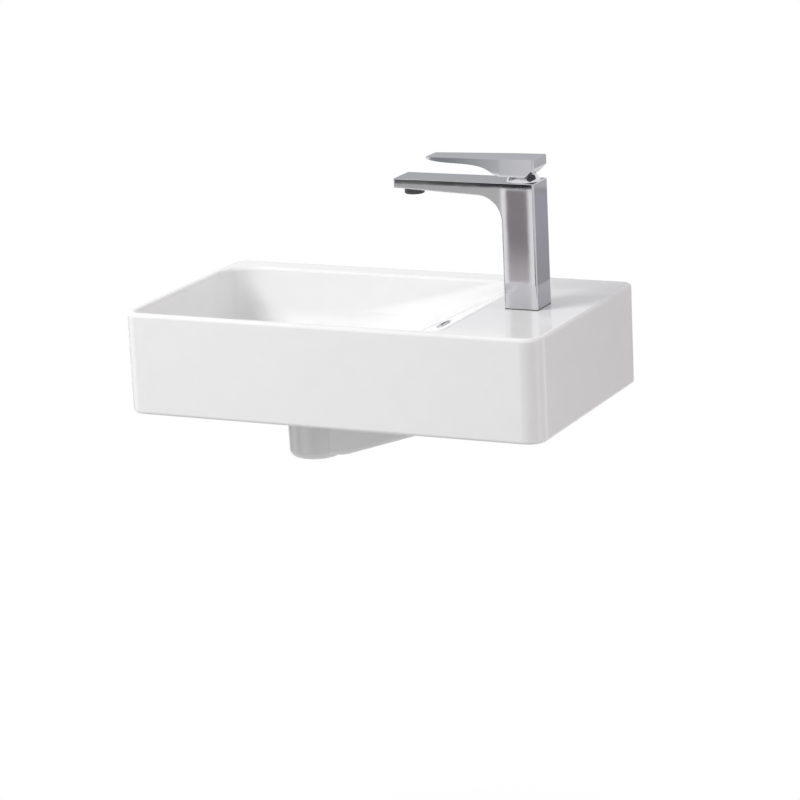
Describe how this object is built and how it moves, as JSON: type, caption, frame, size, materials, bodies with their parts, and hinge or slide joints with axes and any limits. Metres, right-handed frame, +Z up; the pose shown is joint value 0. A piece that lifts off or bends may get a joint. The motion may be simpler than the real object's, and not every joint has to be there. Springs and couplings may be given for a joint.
{
  "type": "wall hung basin",
  "caption": "Rectangular wall hung ceramic basin with a ramped bowl on the left, a tap deck on the right and a square single lever mixer on it.",
  "frame": {"origin": "midway between the two wall bolt holes, on the flat back face", "axes": "+X to the right of a person facing the basin, +Y out of the back face into the wall, +Z up"},
  "size_m": [0.5, 0.282, 0.3493],
  "materials": {
    "vitreous_china": "glossy white glaze",
    "chrome": "polished chrome plate",
    "rubber": "matt",
    "black_plastic": "moulded",
    "grey_plastic": "moulded, plain",
    "cartridge_plastic": "moulded",
    "brass": "machined",
    "steel": "zinc plated",
    "alumina": "lapped"
  },
  "bodies": {
    "body": {"basin": "vitreous_china", "overflow_ring": "chrome", "tap_body": "chrome", "aerator_washer": "rubber", "aerator_sleeve": "black_plastic", "aerator_insert": "black_plastic", "inlet_shank": "brass", "base_gasket": "rubber", "clamp_gasket": "rubber", "clamp_plate": "steel", "fixing_studs": "brass", "fixing_nuts": "brass", "cartridge_base": "cartridge_plastic", "cartridge_seals": "rubber", "cartridge_housing": "cartridge_plastic", "housing_seal": "rubber", "fixed_disc": "alumina", "retaining_nut": "brass", "dome_cover": "chrome"},
    "turret": {"turret": "cartridge_plastic", "pivot_pin": "steel"},
    "lever": {"lever_handle": "chrome", "spindle": "brass", "set_screw": "steel", "index_plug": "grey_plastic"},
    "valve": {"moving_disc": "alumina", "disc_carrier": "cartridge_plastic"}
  },
  "joints": [
    {"name": "turn", "type": "hinge", "parent": "body", "child": "turret", "pos_m": [0.18, -0.14, 0.218], "axis": [0, 0, 1], "range_deg": [-45, 45]},
    {"name": "lift", "type": "hinge", "parent": "turret", "child": "lever", "pos_m": [0.18, -0.14, 0.218], "axis": [0, 1, 0], "range_deg": [0, 25]},
    {"name": "valve_slide", "type": "slide", "parent": "turret", "child": "valve", "axis": [-1, 0, 0], "range_m": [0, 0.0039]}
  ],
  "couplings": [
    {"joint": "valve_slide", "follows": "lift", "m_per_rad": 0.00893}
  ]
}
